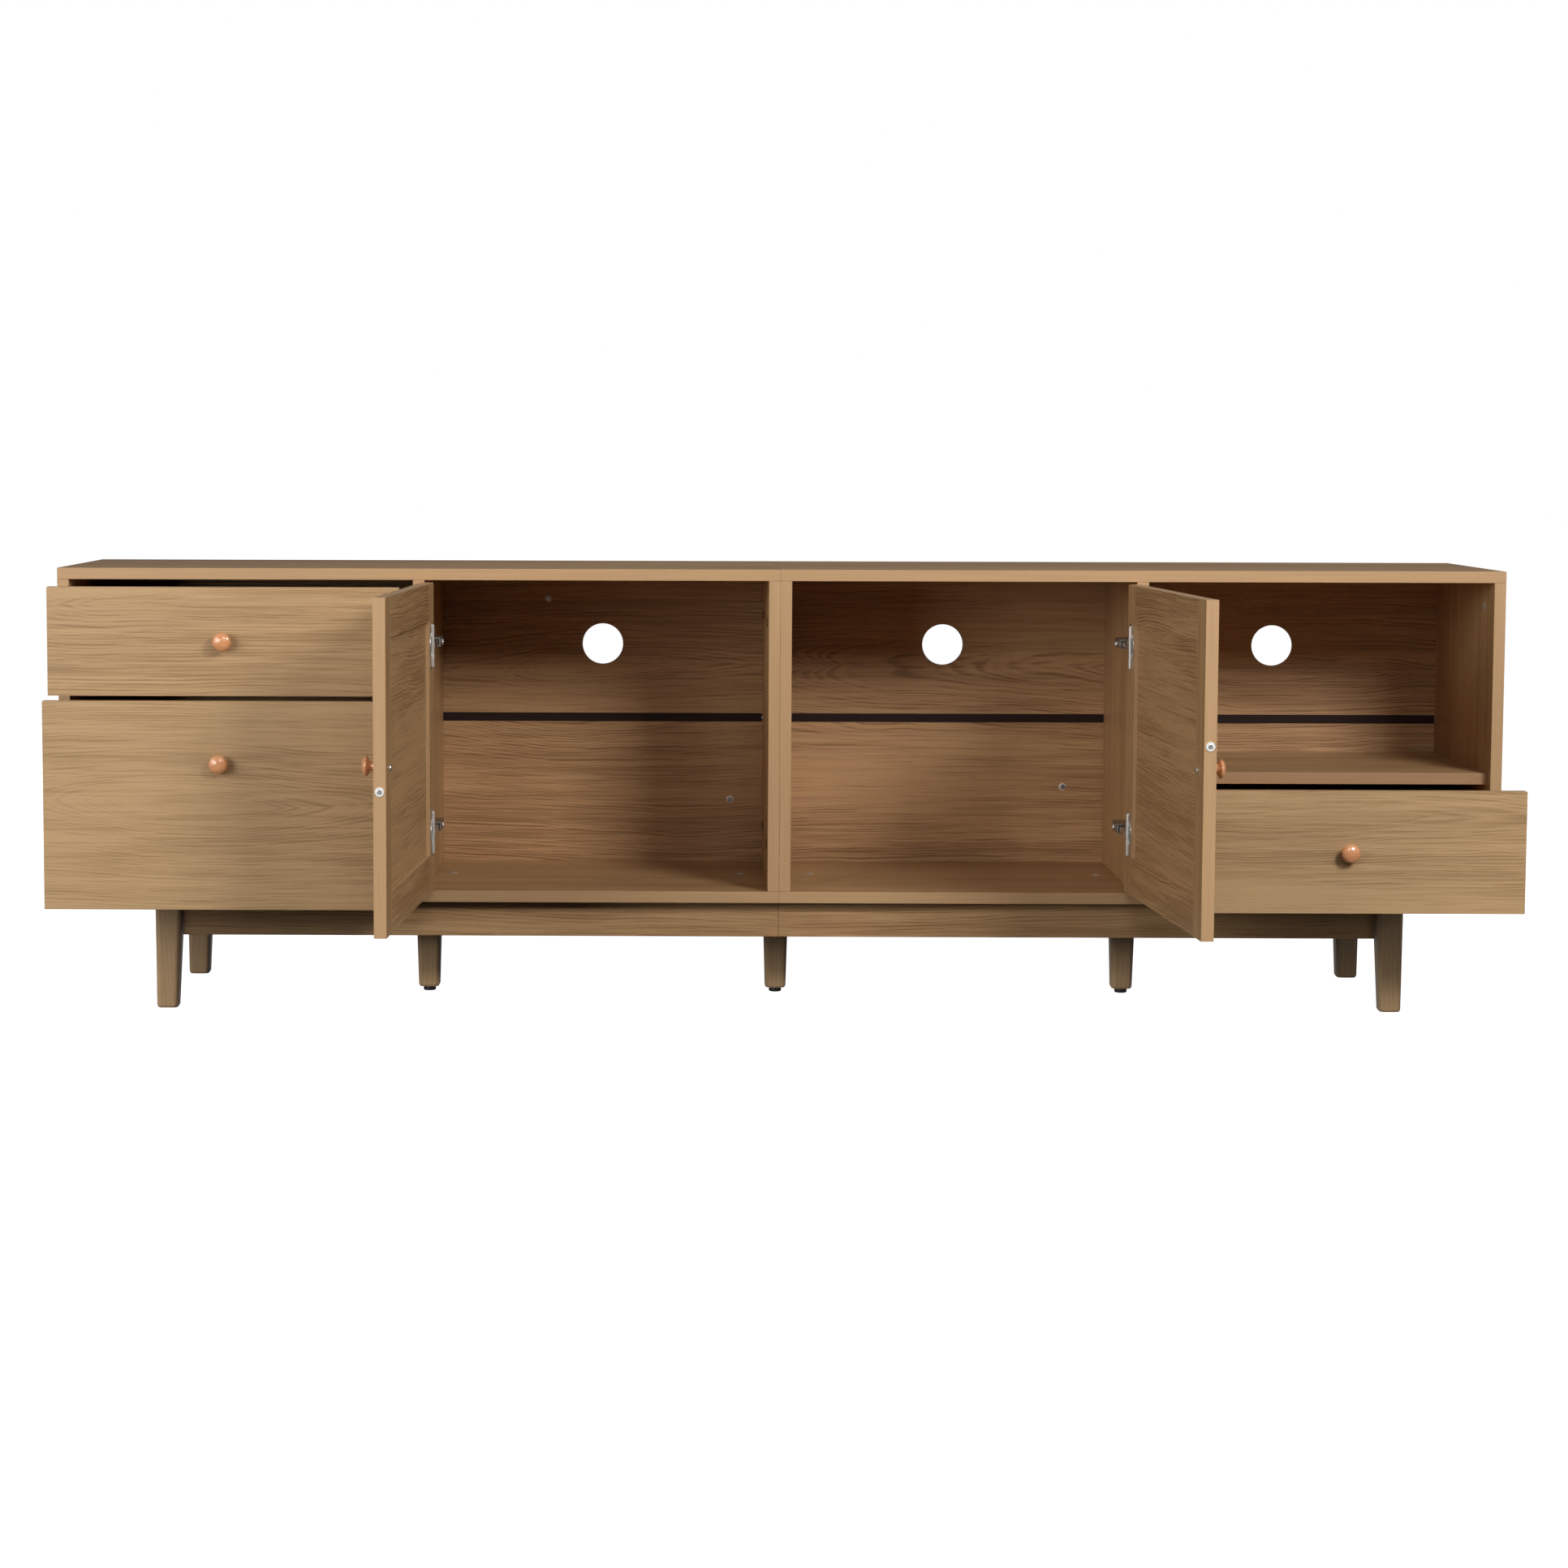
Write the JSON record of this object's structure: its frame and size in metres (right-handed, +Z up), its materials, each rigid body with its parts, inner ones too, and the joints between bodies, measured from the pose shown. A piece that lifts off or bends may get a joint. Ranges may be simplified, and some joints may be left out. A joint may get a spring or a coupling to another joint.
{
  "type": "media cabinet",
  "caption": "Long low media cabinet on tapered legs, with inset doors, drawers, an open shelf bay and cable holes in its back.",
  "frame": {"origin": "underside of the centre levelling foot, on the floor", "axes": "+X along the cabinet toward the open shelf bay, +Y from the front to the back, +Z up"},
  "size_m": [2, 0.8222, 0.616],
  "materials": {
    "oak_laminate": "satin oak-grain laminate on particle board",
    "drawer_board": "satin oak-grain laminate on particle board",
    "back_board": "printed oak grain on thin fibreboard",
    "solid_oak": "clear-coated solid wood",
    "knob_lacquer": "gloss lacquer on turned wood",
    "nickel_steel": "nickel-plated steel",
    "black_plastic": "matt moulded plastic",
    "joiner_plastic": "extruded plastic, dark maroon brown",
    "grey_plastic": "moulded plastic, light grey"
  },
  "bodies": {
    "carcass": {"top_left": "oak_laminate", "top_right": "oak_laminate", "base_left": "oak_laminate", "base_right": "oak_laminate", "side_left": "oak_laminate", "side_right": "oak_laminate", "centre_left": "oak_laminate", "centre_right": "oak_laminate", "partition_left": "oak_laminate", "partition_right": "oak_laminate", "shelf": "oak_laminate", "back_upper_left": "back_board", "back_lower_left": "back_board", "back_upper_right": "back_board", "back_lower_right": "back_board", "back_joiners": "joiner_plastic", "aprons_front": "oak_laminate", "aprons_back": "oak_laminate", "aprons_end": "oak_laminate", "legs_front": "solid_oak", "legs_back": "solid_oak", "legs_mid": "solid_oak", "module_bolts": "nickel_steel", "cam_caps": "grey_plastic", "hinge_arms_left": "nickel_steel", "hinge_arms_right": "nickel_steel", "top_drawer_runners": "nickel_steel", "low_drawer_runners": "nickel_steel", "right_drawer_runners": "nickel_steel"},
    "levelling_foot_left": {"foot_left": "black_plastic"},
    "levelling_foot_centre": {"foot_centre": "black_plastic"},
    "levelling_foot_right": {"foot_right": "black_plastic"},
    "door_left": {"door_left_stiles": "oak_laminate", "door_left_rails": "oak_laminate", "door_left_panel": "oak_laminate", "door_left_knob": "knob_lacquer", "hinge_cups_left": "nickel_steel"},
    "links_left": {"hinge_links_left": "nickel_steel"},
    "door_right": {"door_right_stiles": "oak_laminate", "door_right_rails": "oak_laminate", "door_right_panel": "oak_laminate", "door_right_knob": "knob_lacquer", "hinge_cups_right": "nickel_steel"},
    "links_right": {"hinge_links_right": "nickel_steel"},
    "top_drawer": {"top_drawer_front": "oak_laminate", "top_drawer_box": "drawer_board", "top_drawer_bottom": "back_board", "top_drawer_slides": "nickel_steel", "top_drawer_knob": "knob_lacquer"},
    "low_drawer": {"low_drawer_front": "oak_laminate", "low_drawer_box": "drawer_board", "low_drawer_bottom": "back_board", "low_drawer_slides": "nickel_steel", "low_drawer_knob": "knob_lacquer"},
    "right_drawer": {"right_drawer_front": "oak_laminate", "right_drawer_box": "drawer_board", "right_drawer_bottom": "back_board", "right_drawer_slides": "nickel_steel", "right_drawer_knob": "knob_lacquer"}
  },
  "joints": [
    {"name": "door_left_hinge", "type": "hinge", "parent": "carcass", "child": "door_left", "pos_m": [-0.494, -0.172, 0.384], "axis": [0, 0, -1], "range_deg": [-92.9, 1.1]},
    {"name": "door_right_hinge", "type": "hinge", "parent": "carcass", "child": "door_right", "pos_m": [0.494, -0.172, 0.384], "axis": [0, 0, 1], "range_deg": [-94, 0]},
    {"name": "links_left_slide", "type": "slide", "parent": "carcass", "child": "links_left", "axis": [0, -1, 0], "range_m": [-0.0322, 0.0006]},
    {"name": "links_right_slide", "type": "slide", "parent": "carcass", "child": "links_right", "axis": [0, -1, 0], "range_m": [-0.0322, 0.0006]},
    {"name": "top_drawer_slide", "type": "slide", "parent": "carcass", "child": "top_drawer", "axis": [0, -1, 0], "range_m": [-0.181, 0.044]},
    {"name": "low_drawer_slide", "type": "slide", "parent": "carcass", "child": "low_drawer", "axis": [0, -1, 0], "range_m": [-0.222, 0.003]},
    {"name": "right_drawer_slide", "type": "slide", "parent": "carcass", "child": "right_drawer", "axis": [0, -1, 0], "range_m": [-0.22, 0.005]},
    {"name": "foot_left_thread", "type": "slide", "parent": "carcass", "child": "levelling_foot_left", "axis": [0, 0, -1], "range_m": [0, 0.01]},
    {"name": "foot_centre_thread", "type": "slide", "parent": "carcass", "child": "levelling_foot_centre", "axis": [0, 0, -1], "range_m": [0, 0.01]},
    {"name": "foot_right_thread", "type": "slide", "parent": "carcass", "child": "levelling_foot_right", "axis": [0, 0, -1], "range_m": [0, 0.01]}
  ],
  "couplings": [
    {"joint": "links_left_slide", "follows": "door_left_hinge", "m_per_rad": 0.019505},
    {"joint": "links_right_slide", "follows": "door_right_hinge", "m_per_rad": 0.019505}
  ]
}
